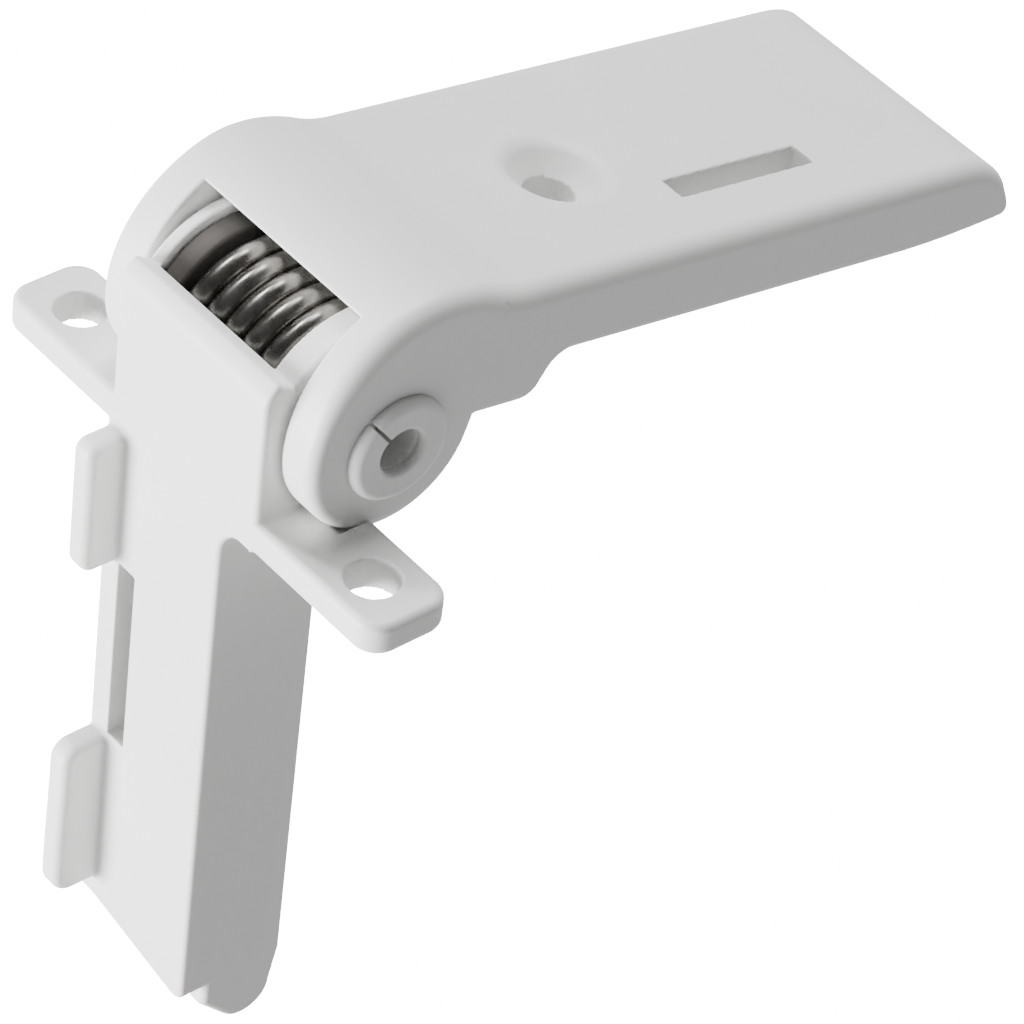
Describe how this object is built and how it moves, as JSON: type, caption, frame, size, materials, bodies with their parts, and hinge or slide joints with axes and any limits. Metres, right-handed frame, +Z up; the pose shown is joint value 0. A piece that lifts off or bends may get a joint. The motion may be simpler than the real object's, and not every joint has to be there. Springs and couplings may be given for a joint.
{
  "type": "sprung hinge bracket",
  "caption": "White plastic sprung hinge bracket for a small gate: a slotted leaf with a countersunk hole swings on a base with screw ears and a long ribbed leg.",
  "frame": {"origin": "midway between the two ear screw holes, on the underside of the ears", "axes": "+Z up, away from the leg; +X along the hinge pin; +Y towards the free end of the leaf"},
  "size_m": [0.0485, 0.0806, 0.0817],
  "materials": {
    "white_plastic": "satin",
    "grey_plastic": "satin",
    "spring_steel": "satin"
  },
  "bodies": {
    "base": {"base_housing": "white_plastic", "spring_sleeve": "grey_plastic", "torsion_spring": "spring_steel"},
    "leaf": {"arm_leaf": "white_plastic", "hinge_pin_near": "white_plastic", "hinge_pin_far": "white_plastic"}
  },
  "joints": [
    {"name": "leaf_hinge", "type": "hinge", "parent": "base", "child": "leaf", "pos_m": [0, 0.0058, 0.0097], "axis": [1, 0, 0], "range_deg": [-78, 38], "stiffness_Nm_per_rad": 1.1, "deforming": ["torsion_spring"]}
  ]
}
